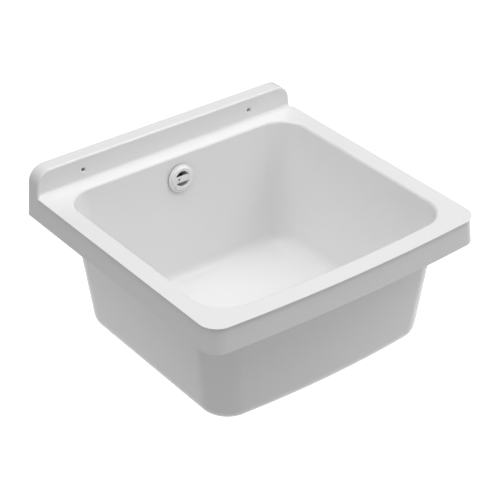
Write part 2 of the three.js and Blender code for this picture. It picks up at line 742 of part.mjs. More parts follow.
// Waste body: collar, chamber, cone and sleeve, with a hub on three spokes.
function wasteBody() {
  const sleeveRadius = outletRadius + seatGap + tailSleeveWall;
  const sleeveEnd = tailSeat - tailSocket;
  const outside = solid(turned([
    [0, sleeveEnd], [sleeveRadius, sleeveEnd], [sleeveRadius, coneEnd], [wasteRadius, coneTop],
    [wasteRadius, wasteTop - wasteCollar], [wasteCollarRadius, wasteTop - wasteCollar],
    [wasteCollarRadius, wasteTop], [0, wasteTop],
  ], fineSides));
  const inletHole = inletRod(spigotRadius + seatGap, wasteBore / 2, wasteRadius + reach);
  const shell = outside.subtract(wasteInside()).subtract(inletHole);
  const hub = [solid(disc(hubRadius, hubFoot, hubTop))];
  for (let k = 0; k < spokes; k += 1) {
    const length = [0, tailBore + outletWall / 2];
    const spoke = block(length, [-spokeThickness / 2, spokeThickness / 2], [hubFoot, coneEnd - chamfer]);
    hub.push(solid(spoke.rotateZ(Math.PI / 2 + k * 2 * Math.PI / spokes)));
  }
  const socket = disc(insertRadius + seatGap, hubTop - insertLength - 2 * seatGap, hubTop + reach, smallSides);
  const through = disc(screwRadius + seatGap, hubFoot - reach, hubTop + reach, smallSides);
  return surface(shell.add(joined(hub)).subtract(solid(socket)).subtract(solid(through)));
}

const washerLow = cupFloor + seatGap;
const headLow = washerLow + screwWasherThickness + seatGap;
const headTop = headLow + screwHeadHeight;

function wasteScrew() {
  const tip = hubFoot + screwTip;
  const body = solid(turned([
    [0, tip], [screwRadius - chamfer, tip], [screwRadius, tip + chamfer], [screwRadius, headLow],
    [screwHeadRadius, headLow], [screwHeadRadius, headTop - chamfer], [screwHeadRadius - chamfer, headTop],
    [0, headTop],
  ], smallSides));
  const across = [-screwSlotWidth / 2, screwSlotWidth / 2];
  const down = [headTop - screwSlotDepth, headTop + reach];
  const slot = block([-screwHeadRadius, screwHeadRadius], across, down);
  return surface(body.subtract(solid(slot)));
}

// ---------------------------------------------------------------- lift-out basket, in the waste's frame

const sealLow = cupFloor + seatGap;
const basketUnder = sealLow + basketSealThickness + seatGap;
const basketFloor = basketUnder + basketSheet;
const basketTop = basketUnder + basketHeight;
const basketTopRadius = strainerRadius - sheetSteel - basketRoom - basketRim;
const basketFootRadius = basketTopRadius - basketTaper;
const domeTop = basketFloor + basketDomeHeight;
const domeFoot = basketDomeRadius + basketDomeSlope;

function basket() {
  const shape = solid(turned([
    [0, domeTop - basketSheet], [basketDomeRadius - basketSheet, domeTop - basketSheet],
    [domeFoot - basketSheet, basketUnder], [basketFootRadius, basketUnder],
    [basketTopRadius, basketTop - basketSheet], [basketTopRadius + basketRim, basketTop - basketSheet],
    [basketTopRadius + basketRim, basketTop], [basketTopRadius - basketSheet, basketTop],
    [basketFootRadius - basketSheet, basketFloor], [domeFoot, basketFloor], [basketDomeRadius, domeTop],
    [0, domeTop],
  ], 2 * basketHolesPerRow));
  const cutters = [];
  spread(basketHoleRows, basketRowPitch, (basketFloor + basketTop) / 2).forEach((z, row) => {
    for (let k = 0; k < basketHolesPerRow; k += 1) {
      const angle = (k + 0.5 * (row % 2)) * 2 * Math.PI / basketHolesPerRow;
      const hole = disc(basketHoleRadius, domeFoot, basketTopRadius + reach, ringSides).rotateY(Math.PI / 2);
      cutters.push(solid(hole.rotateZ(angle).translate(0, 0, z)));
    }
  });
  return surface(shape.subtract(joined(cutters)));
}

const postLow = domeTop + seatGap;
const postTop = postLow + postHeight;

function basketPost() {
  return turned([
    [0, postLow], [postFootRadius, postLow], [postFootRadius, postLow + postFootHeight],
    [postRadius, postLow + postFootHeight], [postRadius, postTop], [0, postTop],
  ], smallSides);
}

function basketKnob() {
  const low = postTop + knobCap - knobHeight;
  const socket = postRadius + seatGap;
  const top = postTop + knobCap;
  return turned([
    [0, postTop + seatGap], [socket, postTop + seatGap], [socket, low], [knobRadius - knobEdge, low],
    [knobRadius, low + knobEdge], [knobRadius, top - knobEdge], [knobRadius - knobEdge, top], [0, top],
  ]);
}

// ---------------------------------------------------------------- assembly

const gasketTop = -(bowlWall + seatGap);
const gasketLow = gasketTop - underGasketThickness;
const insertTop = hubTop - seatGap;
const screwBore = screwRadius + seatGap;
const frontSeal = ring(overflowHoleRadius, rosetteRadius - sealMargin, seatGap, seatGap + frontSealThickness);
const backGasket = ring(overflowHoleRadius, elbowFlangeRadius - sealMargin, gasketBack, gasketFace);
const topSealInner = strainerRadius + strainerShoulder + sealMargin;
const topSeal = ring(topSealInner, strainerFlangeRadius - sealMargin, seatGap, seatGap + topSealThickness);
const underGasket = ring(wasteBore, wasteCollarRadius - sealMargin, gasketLow, gasketTop);
const screwWasher = ring(screwBore, screwWasherRadius, washerLow, washerLow + screwWasherThickness, smallSides);
const screwInsert = ring(screwBore, insertRadius, insertTop - insertLength, insertTop, smallSides);
const wasteTail = ring(tailBore, outletRadius, wasteEnd, tailSeat - seatGap, fineSides);
const basketSeal = ring(domeFoot - basketSheet, basketSealRadius, sealLow, sealLow + basketSealThickness);

overflowPlace.add(
  named('overflow_rosette', rosette(), whiteTrim),
  named('overflow_front_seal', frontSeal, rubber),
  named('overflow_back_gasket', backGasket, rubber),
  named('overflow_elbow', elbow(), greyPlastic),
);
upperJoint.add(
  named('hose_washer_upper', jointWasher(), rubber),
  named('hose_nut_upper', jointNut(), greyPlastic),
);
lowerJoint.add(
  named('hose_washer_lower', jointWasher(), rubber),
  named('hose_nut_lower', jointNut(), greyPlastic),
);
wastePlace.add(
  named('strainer_cup', strainerCup(), steel),
  named('strainer_top_seal', topSeal, rubber),
  named('strainer_under_gasket', underGasket, rubber),
  named('waste_body', wasteBody(), greyPlastic),
  named('waste_inlet_pipe', wasteInlet(), greyPlastic),
  named('waste_tail', wasteTail, greyPlastic),
  named('waste_screw', wasteScrew(), steel),
  named('waste_screw_washer', screwWasher, rubber),
  named('waste_screw_insert', screwInsert, brass),
  named('basket', basket(), steel),
  named('basket_seal', basketSeal, rubber),
  named('basket_post', basketPost(), steel),
  named('basket_knob', basketKnob(), greyPlastic),
);

const sink = new THREE.Group();
sink.add(named('basin', surface(basin()), whiteGloss));
sink.add(overflowPlace, wastePlace, named('overflow_hose', hose(), greyPlastic));

export default sink;
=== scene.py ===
from math import acos, atan, atan2, cos, pi, sin, sqrt, tan

import bmesh
import bpy
import numpy as np
from mathutils import Matrix, Vector


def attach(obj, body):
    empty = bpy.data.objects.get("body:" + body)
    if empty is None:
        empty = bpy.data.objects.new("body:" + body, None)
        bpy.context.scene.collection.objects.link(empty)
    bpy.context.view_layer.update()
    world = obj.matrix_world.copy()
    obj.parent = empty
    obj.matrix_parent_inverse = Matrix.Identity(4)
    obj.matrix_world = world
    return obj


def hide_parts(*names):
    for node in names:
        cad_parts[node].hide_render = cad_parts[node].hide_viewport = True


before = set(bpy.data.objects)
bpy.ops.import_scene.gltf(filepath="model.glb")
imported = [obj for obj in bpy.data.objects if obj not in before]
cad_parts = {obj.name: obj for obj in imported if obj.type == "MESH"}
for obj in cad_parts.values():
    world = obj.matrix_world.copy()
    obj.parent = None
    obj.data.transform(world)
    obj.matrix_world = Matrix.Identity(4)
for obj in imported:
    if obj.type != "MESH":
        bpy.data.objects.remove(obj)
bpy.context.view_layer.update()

# ------------------------------------------------------------------------------------------ basin
# One injection moulding in glossy white plastic: bowl, rim with its turned-down skirt, and an upstand that
# stands on the wall. Ribs and two screw bosses stiffen it behind. Two screws hold it to the wall.

MM = 0.001

rim_half = 274.2
rim_depth = 537.4
front_bow = 11.0
rim_corner = 28.0
edge_round = 4.0
skirt_height = 47.3
skirt_draft = 0.085
shell_wall = 4.5
foot_round = 0.6
upstand_height = 45.1
upstand_depth = 27.8
upstand_corner = 30.0
cove_radius = 6.0
screw_side = 179.3
screw_height = 19.8
screw_hole = 3.5
screw_mouth = 5.2
mouth_depth = 1.4
boss_radius = 8.0
rib_half = 1.5
rib_foot = -26.0

side_rim = 31.3
front_rim = 33.4
ledge = 55.6
lip_radius = 5.0
bowl_depth = 242.5
bowl_bow = 12.0
bowl_corner_top = 52.0
bowl_corner_floor = 44.0
side_taper = 0.101
back_taper = 0.108
bowl_wall = 5.5
floor_fillet = 22.0
floor_fall = 2.8
drain_y = -286.0
recess_radius = 60.0
recess_margin = 3.0
recess_depth = 3.7
drain_hole = 46.5
overflow_drop = 44.0
overflow_hole = 17.8

cove_front = -(upstand_depth + cove_radius)
floor_z = -bowl_depth
seat_z = -(bowl_depth + floor_fall + recess_depth)
floor_under = seat_z - bowl_wall


def arc(cx, cy, radius, start, end, steps):
    """Points on an arc, both ends included."""
    turns = np.linspace(start, end, steps + 1)
    return np.column_stack((cx + radius * np.cos(turns), cy + radius * np.sin(turns)))


def line(start, end, steps):
    """Points between two points, both ends left out."""
    share = np.arange(1, steps)[:, None] / steps
    return np.array(start) * (1 - share) + np.array(end) * share


def at_height(plan, z):
    return np.column_stack((plan, np.full(len(plan), float(z))))


def quarter(steps):
    """A quarter-round, from 0 to 1 along each of its two ways."""
    turns = np.linspace(0, pi / 2, steps + 1)
    return np.column_stack((np.sin(turns), 1 - np.cos(turns)))


def bowed(plan, half, back, front, bow):
    """Swells the front of a plan and leaves its back straight."""
    x, y = plan.T
    share = np.clip((y - back) / (front - back), 0, None)
    return np.column_stack((x, y - bow * (1 - (x / half) ** 2) * share))


WALL_ENDS = 3


def rim_plan(z, grow=0.0, back=0.0):
    """The rim's and skirt's outline at a level, from the wall on the right round the front to the left."""
    lean = skirt_draft * max(0.0, -z)
    half = rim_half + lean + grow
    front = -(rim_depth - front_bow + lean + grow)
    radius = rim_corner + grow
    ends = [(half, back), (half, -11), (half, -22)]
    side = [(half, cove_front), *line((half, cove_front), (half, front + radius), 9)]
    corner = arc(half - radius, front + radius, radius, 0, -pi / 2, 20)
    right = np.vstack((ends, side, corner))
    middle = line((half - radius, front), (-half + radius, front), 36)
    plan = np.vstack((right, middle, right[::-1] * (-1, 1)))
    return bowed(plan, half, 0, front, front_bow)


def bowl_plan(z, grow=0.0):
    """The bowl's inner outline at a level, grown outwards."""
    down = -z
    half = rim_half - side_rim - side_taper * down + grow
    back = -(ledge + back_taper * down) + grow
    front = -(rim_depth - front_rim - bowl_bow - side_taper * down + grow)
    turn = bowl_corner_top - (bowl_corner_top - bowl_corner_floor) * down / bowl_depth
    radius = turn + grow
    plan = np.vstack((
        arc(-half + radius, back - radius, radius, pi / 2, pi, 20),
        line((-half, back - radius), (-half, front + radius), 24),
        arc(-half + radius, front + radius, radius, pi, 1.5 * pi, 20),
        line((-half + radius, front), (half - radius, front), 36),
        arc(half - radius, front + radius, radius, 1.5 * pi, 2 * pi, 20),
        line((half, front + radius), (half, back - radius), 24),
        arc(half - radius, back - radius, radius, 0, pi / 2, 20),
        line((half - radius, back), (-half + radius, back), 24),
    ))
    return bowed(plan, half, back, front, bowl_bow)


def drain_ring(outline, radius, z):
    """A circle about the waste, each point in line with one of the bowl's outline."""
    angle = np.arctan2(outline[:, 1] - drain_y, outline[:, 0])
    return at_height(np.column_stack((radius * np.cos(angle), drain_y + radius * np.sin(angle))), z)


def bowl_rings(grow, top, edge):
    """The bowl's skin from under its lip to the seat of the waste."""
    radius = floor_fillet + grow
    end = floor_z - grow + radius
    rings = [at_height(bowl_plan(z, grow), z) for z in np.linspace(top, end, 12)]
    for along, aside in quarter(12)[1:]:
        z = end - radius * along
        rings.append(at_height(bowl_plan(z, grow - radius * aside), z))
    outer = rings[-1]
    inner = drain_ring(outer, recess_radius + recess_margin + grow, floor_z - grow - floor_fall)
    rings += [outer * (1 - t) + inner * t for t in np.linspace(0, 1, 9)[1:]]
    rings += [drain_ring(outer, r, z) for r, z in edge]
    return rings


def mesh_of(points, faces, scale=MM):
    """A closed mesh from points and faces, with its doubles merged and its faces pointing out."""
    mesh = bpy.data.meshes.new("shape")
    mesh.from_pydata((np.asarray(points) * scale).tolist(), [], faces)
    work = bmesh.new()
    work.from_mesh(mesh)
    bmesh.ops.remove_doubles(work, verts=work.verts, dist=2e-6)
    bmesh.ops.recalc_face_normals(work, faces=work.faces)
    work.to_mesh(mesh)
    work.free()
    return mesh


def stacked(rings):
    """Points and faces of a solid through a stack of rings, flat at both ends."""
    count = len(rings[0])
    faces = [list(range(count)), [(len(rings) - 1) * count + k for k in range(count)]]
    for level in range(len(rings) - 1):
        for k in range(count):
            a, b = level * count + k, level * count + (k + 1) % count
            faces.append([a, b, b + count, a + count])
    return np.vstack(rings), faces


def loft(rings):
    return mesh_of(*stacked(rings))


def block(low, high):
    x, y, z = zip(low, high)
    plan = [(x[0], y[0]), (x[1], y[0]), (x[1], y[1]), (x[0], y[1])]
    return loft([at_height(np.array(plan), level) for level in z])


def as_object(mesh, name="work"):
    made = bpy.data.objects.new(name, mesh)
    bpy.context.scene.collection.objects.link(made)
    return made


def settled(thing):
    """The plain mesh that an object's modifiers make; the object itself goes."""
    thing.update_tag()
    graph = bpy.context.evaluated_depsgraph_get()
    shown = thing.evaluated_get(graph)
    mesh = bpy.data.meshes.new_from_object(shown, preserve_all_data_layers=True, depsgraph=graph)
    bpy.data.objects.remove(thing)
    return mesh


def combined(first, operation, *others):
    """First with each other mesh added, taken away or kept in common."""
    for other in others:
        body, tool = as_object(first), as_object(other)
        modifier = body.modifiers.new("combine", "BOOLEAN")
        modifier.operation = operation
        modifier.solver = "MANIFOLD"
        modifier.object = tool
        first = settled(body)
        bpy.data.objects.remove(tool)
    return first


def upstand_outline(inset, y, foot):
    lean = atan(skirt_draft)
    radius = upstand_corner - inset
    cz = upstand_height - inset - radius
    cx = rim_half - skirt_draft * cz - inset - radius / cos(lean)
    corner = arc(cx, cz, radius, lean, pi / 2, 16)
    right = np.vstack(([(rim_half - skirt_draft * foot - inset, foot)], corner))
    plan = np.vstack((right, right[::-1] * (-1, 1)))
    return np.column_stack((plan[:, 0], np.full(len(plan), float(y)), plan[:, 1]))


def outer_skin():
    """The moulding's outside as one closed solid: rim, skirt and upstand with a single rounded edge."""
    # One rounded edge runs all the way round, where the rim's top, the cove and the upstand's front end.
    plan = rim_plan(0)
    flat = plan[WALL_ENDS:-WALL_ENDS]
    tangent = np.gradient(plan, axis=0)[WALL_ENDS:-WALL_ENDS]
    aside = np.column_stack((-tangent[:, 1], tangent[:, 0]))
    aside /= np.linalg.norm(aside, axis=1)[:, None]
    outward = np.column_stack((-aside, np.full(len(flat), skirt_draft)))
    edge = [(Vector((x, y, 0)), Vector((0, 0, 1)), Vector(n)) for (x, y), n in zip(flat, outward)]

    lean = atan(skirt_draft)
    side_normal = Vector((1, 0, skirt_draft))
    right = []
    for turn in np.linspace(0, pi / 2, 9)[1:]:
        z = cove_radius * (1 - cos(turn))
        place = Vector((rim_half - skirt_draft * z, cove_front + cove_radius * sin(turn), z))
        right.append((place, Vector((0, -sin(turn), cos(turn))), side_normal))
    coves = len(right)
    radius = upstand_corner
    cz = upstand_height - radius
    cx = rim_half - skirt_draft * cz - radius / cos(lean)
    for turn in np.linspace(lean, pi / 2, 17):
        place = Vector((cx + radius * cos(turn), -upstand_depth, cz + radius * sin(turn)))
        right.append((place, Vector((0, -1, 0)), Vector((cos(turn), 0, sin(turn)))))
    flip = Vector((-1, 1, 1))
    left = [tuple(part * flip for part in entry) for entry in right]
    count_flat = len(edge)
    loop = edge + left + right[::-1]
    count = len(loop)

    steps = 8
    rows = []
    for place, above, beside in loop:
        beside = beside.normalized()
        across = (beside - above * beside.dot(above)).normalized()
        opening = acos(max(-1, min(1, beside.dot(above))))
        start = place - across * edge_round * tan(opening / 2)
        middle = start - above * edge_round
        turns = [opening * k / steps for k in range(steps + 1)]
        rows.append([middle + (above * cos(t) + across * sin(t)) * edge_round for t in turns])
    points = [row[k] for k in range(steps + 1) for row in rows]
    faces = []
    for level in range(steps):
        for k in range(count):
            a, b = level * count + k, level * count + (k + 1) % count
            faces.append([a, b, b + count, a + count])

    # Flat top, cove and the upstand's front.
    first_left, first_right = count_flat, count - 1
    faces.append(list(range(count_flat)))
    lefts = [count_flat - 1] + [first_left + k for k in range(coves)]
    rights = [0] + [first_right - k for k in range(coves)]
    for k in range(coves):
        faces.append([lefts[k], lefts[k + 1], rights[k + 1], rights[k]])
    faces.append(list(range(lefts[-1], rights[-1] + 1)))

    # Skirt, with a small round at its foot.
    low = steps * count
    levels = [(-8, 0), (-20, 0), (-34, 0), (foot_round - skirt_height, 0)]
    levels += [(foot_round * (1 - a) - skirt_height, -foot_round * b) for a, b in quarter(3)[1:]]
    skirt = [at_height(rim_plan(z, grow), z) for z, grow in levels]
    base = len(points)
    across_count = len(plan)
    points += [Vector(p) for ring in skirt for p in ring]
    for k in range(count_flat - 1):
        a, b = low + k, base + WALL_ENDS + k
        faces.append([a, a + 1, b + 1, b])
    for level in range(len(skirt) - 1):
        for k in range(across_count - 1):
            a = base + level * across_count + k
            faces.append([a, a + 1, a + 1 + across_count, a + across_count])
    bottom = base + (len(skirt) - 1) * across_count
    faces.append(list(range(bottom, bottom + across_count)))

    # Top of the upstand, back to the wall.
    tops = list(range(first_left + coves, first_right - coves + 1))
    strip = [low + k for k in tops]
    for y in (-12, 0):
        fresh = []
        for k in tops:
            place = points[low + k].copy()
            place.y = y
            fresh.append(len(points))
            points.append(place)
        for k in range(len(tops) - 1):
            faces.append([strip[k], strip[k + 1], fresh[k + 1], fresh[k]])
        strip = fresh
        if y == -12:
            middle_strip = fresh

    # The two flat ends, and the open back closed for now.
    for step in (1, -1):
        edge_low = [low + k for k in ([0] + rights[1:] if step == 1 else [lefts[0]] + lefts[1:])]
        first = base if step == 1 else base + across_count - 1
        ends = [first + step * k for k in range(WALL_ENDS, -1, -1)]
        top = strip[-1] if step == 1 else strip[0]
        half_way = middle_strip[-1] if step == 1 else middle_strip[0]
        corner = low + (tops[-1] if step == 1 else tops[0])
        faces.append([*edge_low[::-1], *ends, top, half_way, corner])
    column = [base + level * across_count for level in range(len(skirt))]
    far = [a + across_count - 1 for a in column]
    faces.append([*column[::-1], *strip[::-1], *far])
    return mesh_of([tuple(p) for p in points], faces)


def screw_cutter(side):
    """A drill for one wall screw's hole, with a wider mouth in front."""
    mouth = mouth_depth - upstand_depth
    profile = [(1, screw_hole), (mouth + 1, screw_hole), (mouth, screw_mouth - 0.3)]
    profile += [(-upstand_depth, screw_mouth), (-upstand_depth - 1, screw_mouth)]
    rings = []
    for y, radius in profile:
        circle = arc(side * screw_side, screw_height, radius, 0, 2 * pi, 32)[:-1]
        rings.append(np.column_stack((circle[:, 0], np.full(32, float(y)), circle[:, 1])))
    return loft(rings)


def boss(side):
    rings = []
    for y in (0, 2 - upstand_depth):
        circle = arc(side * screw_side, screw_height, boss_radius, 0, 2 * pi, 48)[:-1]
        rings.append(np.column_stack((circle[:, 0], np.full(48, float(y)), circle[:, 1])))
    return loft(rings)


def back_ribs():
    """Upright ribs behind the upstand, and short ones in the channel under the rim."""
    bar = block((-rib_half, -61, -15), (rib_half, 0, upstand_height))
    bars = []
    for side in (-1, 1):
        x = side * 90
        bars.append(block((x - rib_half, -61, -skirt_height), (x + rib_half, 0, upstand_height)))
        ends = sorted((side * (rim_half - side_rim), side * (rim_half + shell_wall)))
        for k in (-1, 0, 1):
            y = -rim_depth / 2 + k * 107.5
            bars.append(block((ends[0], y - rib_half, rib_foot), (ends[1], y + rib_half, 0)))
    for k in (-1, 0, 1):
        x = k * 137
        bars.append(block((x - rib_half, -rim_depth, rib_foot), (x + rib_half, front_rim - rim_depth, 0)))
    return combined(bar, "UNION", *bars)


sunk = shell_wall / 2
under = [at_height(rim_plan(z, -sunk), z) for z in (1 - skirt_height, -sunk)]
behind = [upstand_outline(sunk, y, -shell_wall) for y in (0, sunk - upstand_depth)]
rib_space = combined(loft(under), "UNION", loft(behind))
stiffening = combined(back_ribs(), "INTERSECT", rib_space)

foot = -skirt_height
hollow = [(foot - 1, foot_round), (foot, foot_round)]
hollow += [(foot + foot_round * 0.3, foot_round * 0.3), (foot + foot_round, 0), (-shell_wall - 3, 0)]
hollow += [(-shell_wall - 3 * (1 - a), -3 * b) for a, b in quarter(5)[1:]]
skirt_hollow = loft([at_height(rim_plan(z, grow - shell_wall, 1.0), z) for z, grow in hollow])
upstand_hollow = loft([upstand_outline(shell_wall, y, foot - 1) for y in (1, shell_wall - upstand_depth)])

sump_edge = [(recess_radius + bowl_wall + 1, floor_z - bowl_wall - floor_fall - 0.3)]
sump_edge += [(recess_radius + bowl_wall - 0.8 * b, floor_under + 0.8 * (1 - a)) for a, b in quarter(3)]
bowl_outside = [at_height(bowl_plan(-sunk, bowl_wall), -sunk)]
bowl_outside = loft(bowl_outside + bowl_rings(bowl_wall, -sunk - 1, sump_edge))

seat_edge = [(recess_radius + 1.5 * (1 - a), floor_z - floor_fall - 1.5 * b) for a, b in quarter(5)]
seat_edge += [(recess_radius, seat_z + 0.5), (recess_radius - 0.5, seat_z)]
seat_edge += [(drain_hole, seat_z), (drain_hole, floor_under - 1)]
lip = [at_height(bowl_plan(0, lip_radius), z) for z in (1, 0)]
for along, aside in quarter(10)[1:]:
    z = -lip_radius * aside
    lip.append(at_height(bowl_plan(z, lip_radius * (1 - along)), z))
bowl_inside = loft([*lip, *bowl_rings(0, -lip_radius - 2, seat_edge)])

wall_tilt = atan(back_taper)
overflow_place = Matrix.Translation((0, -(ledge + back_taper * overflow_drop) * MM, -overflow_drop * MM))
overflow_place @= Matrix.Rotation(pi / 2 - wall_tilt, 4, "X")
circle = arc(0, 0, overflow_hole, 0, 2 * pi, 64)[:-1]
overflow_cutter = loft([at_height(circle, z) for z in (-bowl_wall - 1, 1)])
overflow_cutter.transform(overflow_place)

basin = combined(outer_skin(), "DIFFERENCE", skirt_hollow, upstand_hollow)
basin = combined(basin, "UNION", bowl_outside, stiffening, boss(-1), boss(1))
basin = combined(basin, "DIFFERENCE", bowl_inside, overflow_cutter, screw_cutter(-1), screw_cutter(1))


class Value:
    """One output of a node. Python's operators on it add Math nodes to its tree."""

    def __init__(self, tree, socket):
        self.tree, self.socket = tree, socket

    def maths(self, operation, other, swapped=False):
        pair = (other, self) if swapped else (self, other)
        return self.tree.node("ShaderNodeMath", {"operation": operation}, {0: pair[0], 1: pair[1]})["Value"]

    def __add__(self, other):
        return self.maths("ADD", other)

    def __sub__(self, other):
        return self.maths("SUBTRACT", other)

    def __rsub__(self, other):
        return self.maths("SUBTRACT", other, swapped=True)

    def __mul__(self, other):
        return self.maths("MULTIPLY", other)

    def __truediv__(self, other):
        return self.maths("DIVIDE", other)

    def __pow__(self, other):
        return self.maths("POWER", other)

    __radd__ = __add__
    __rmul__ = __mul__


class Tree:
    """A node tree of a material or a modifier."""

    def __init__(self, tree):
        self.tree = tree

    def node(self, kind, settings=None, sockets=None):
        """Adds a node: its settings first, then the values or links of its sockets. Gives its outputs."""
        made = self.tree.nodes.new(kind)
        for name, value in (settings or {}).items():
            setattr(made, name, value)
        for name, value in (sockets or {}).items():
            if isinstance(value, Value):
                self.tree.links.new(value.socket, made.inputs[name])
            else:
                made.inputs[name].default_value = value
        return {out.name: Value(self, out) for out in made.outputs if out.enabled}


def noise(tree, size, detail=2.0, place=None):
    """Soft noise whose features are about a size in metres."""
    place = place or tree.node("ShaderNodeTexCoord")["Object"]
    sockets = {"Vector": place, "Scale": 1 / size, "Detail": detail}
    return tree.node("ShaderNodeTexNoise", None, sockets)["Fac"]


def shaded(tree, dark, light, share):
    """A colour between two, by a share."""
    settings = {"data_type": "RGBA"}
    return tree.node("ShaderNodeMix", settings, {0: share, 6: (*dark, 1), 7: (*light, 1)})["Result"]


def finish(name, colour, roughness, bump, **more):
    """A material. What makes a socket's value gets the tree; bump also gives its depth in metres."""
    material = bpy.data.materials.new(name)
    material.use_nodes = True
    material.node_tree.nodes.clear()
    tree = Tree(material.node_tree)
    height, depth = bump(tree)
    sockets = {"Height": height, "Distance": depth, "Strength": 1.0}
    normal = tree.node("ShaderNodeBump", None, sockets)["Normal"]
    sockets = {"Base Color": colour(tree), "Roughness": roughness(tree), "Normal": normal}
    for key, value in more.items():
        sockets[key.replace("_", " ")] = value(tree) if callable(value) else value
    shader = tree.node("ShaderNodeBsdfPrincipled", None, sockets)["BSDF"]
    tree.node("ShaderNodeOutputMaterial", None, {"Surface": shader})
    return material


white_gloss = finish(
    "white_gloss",
    lambda t: shaded(t, (0.87, 0.87, 0.87), (0.89, 0.89, 0.89), noise(t, 0.11, 3.0)),
    lambda t: 0.2 + noise(t, 0.05, 3.0) * 0.06 + noise(t, 0.0015) * 0.03,
    lambda t: (noise(t, 0.0025, 2.0) + noise(t, 0.02) * 4.0, 0.00001),
    IOR=1.49,
)


def smooth_by_angle(mesh, limit=32):
    """Smooth shading, with the edges sharper than a limit in degrees kept crisp."""
    work = bmesh.new()
    work.from_mesh(mesh)
    bmesh.ops.remove_doubles(work, verts=work.verts, dist=2e-6)
    bmesh.ops.dissolve_degenerate(work, edges=work.edges, dist=1e-6)
    for face in work.faces:
        face.smooth = True
    for edge in work.edges:
        edge.smooth = len(edge.link_faces) == 2 and edge.calc_face_angle(0) < limit * pi / 180
    work.to_mesh(mesh)
    work.free()


def piece(name, mesh, material, slot, *nodes, body="sink"):
    """A finished piece that stands for its CAD nodes and rides on their body."""
    smooth_by_angle(mesh)
    mesh.materials.clear()
    mesh.materials.append(material)
    work = as_object(mesh)
    weighted = work.modifiers.new("normals", "WEIGHTED_NORMAL")
    weighted.keep_sharp = True
    made = as_object(settled(work), name)
    made.data.name = name
    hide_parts(*nodes)
    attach(made, body)
    return made


piece("basin_moulding", basin, white_gloss, "white_moulding", "basin")

# ------------------------------------------------------------------------------------------ overflow cover
# A glossy white moulding: a raised face with a grille of two D-shaped openings and a bar between them.
# Behind it, a threaded collar goes through the bowl's wall and screws into the elbow.

gap = 0.3
front_seal = 1.5
cover_radius = 27.0
cover_face_radius = 20.0
grille_radius = 15.5
collar_radius = 17.2
collar_bore = 14.7
collar_length = 16.0
cover_back = front_seal + 2 * gap
cover_face = cover_back + 6.0
grille_wall = 2.2
grille_sunk = 0.8
grille_face = cover_face - grille_sunk
bar_half = 5.5
chain_side = -7.0


def rounded(profile, edge, closed):
    """A profile whose corners are rounded by edge, or by a corner's own third value."""
    points = [np.array(p[:2], float) for p in profile]
    last = len(points) - 1
    out = []
    for k, here in enumerate(points):
        radius = profile[k][2] if len(profile[k]) > 2 else edge
        if radius == 0 or (not closed and k in (0, last)):
            out.append(here)
            continue
        before, after = points[k - 1] - here, points[(k + 1) % len(points)] - here
        a, b = np.linalg.norm(before), np.linalg.norm(after)
        u, v = before / a, after / b
        opening = acos(max(-1.0, min(1.0, float(u @ v))))
        if opening > pi - 0.02:
            out.append(here)
            continue
        reach = min(radius / tan(opening / 2), 0.48 * a, 0.48 * b)
        radius = reach * tan(opening / 2)
        centre = here + (u + v) / np.linalg.norm(u + v) * radius / sin(opening / 2)
        sweep = pi - opening
        start, end = here + u * reach - centre, here + v * reach - centre
        steps = max(2, min(8, round(radius * sweep / 0.25)))
        for t in np.linspace(0, 1, steps + 1):
            out.append(centre + (sin((1 - t) * sweep) * start + sin(t * sweep) * end) / sin(sweep))
    return out


def turned(profile, edge=0.3, sides=96, thread=None):
    """A solid turned about z from (radius, height) points.

    A thread cuts into one of its walls: the wall's radius, low and high end, pitch and depth.
    """
    closed = profile[0][0] != 0
    points = rounded(profile, edge, closed)
    turns = np.linspace(0, 2 * pi, sides, endpoint=False)
    if thread:
        wall, low, high, pitch, depth = thread
        rows = []
        for k, here in enumerate(points):
            rows.append(here)
            there = points[(k + 1) % len(points)]
            if abs(here[0] - wall) < 1e-6 and abs(there[0] - wall) < 1e-6:
                steps = max(1, round(abs(there[1] - here[1]) / pitch * 7))
                rows.extend(line(here, there, steps))
        points = rows
    rings = []
    for radius, z in points:
        reach = np.full(sides, radius)
        if thread and abs(radius - wall) < 1e-6 and low < z < high:
            phase = (z / pitch - turns / (2 * pi)) % 1
            fade = min(1, (z - low) / pitch, (high - z) / pitch)
            reach -= depth * fade * np.clip(1.5 * np.abs(2 * phase - 1) - 0.25, 0, 1)
        rings.append(np.column_stack((reach * np.cos(turns), reach * np.sin(turns), np.full(sides, z))))
    vertices, faces = stacked(rings)
    faces = faces[2:]
    if closed:
        first = (len(rings) - 1) * sides
        faces += [[first + k, first + (k + 1) % sides, (k + 1) % sides, k] for k in range(sides)]
    return mesh_of(vertices, faces)


def put(mesh, place):
    """A mesh moved to its place on the sink."""
    mesh.transform(place)
    return mesh


def rod(radius, low, high, sides=96):
    return turned([(0, low), (radius, low), (radius, high), (0, high)], 0, sides)


cover = turned([
    (0, cover_face - grille_wall), (collar_bore, cover_face - grille_wall), (collar_bore, -collar_length),
    (collar_radius, -collar_length), (collar_radius, cover_back), (cover_radius, cover_back, 0.8),
    (cover_radius, cover_back + 1.6, 0.8), (cover_radius - 3.2, cover_back + 2.2, 3),
    (cover_face_radius + 0.5, cover_face - 0.4, 1.2), (cover_face_radius - 0.6, cover_face, 1),
    (grille_radius, cover_face, 0.6), (grille_radius - grille_sunk, grille_face, 0.4), (0, grille_face),
], 0.3, 128, (collar_radius, -collar_length + 0.4, -6.5, 2.3, 0.8))


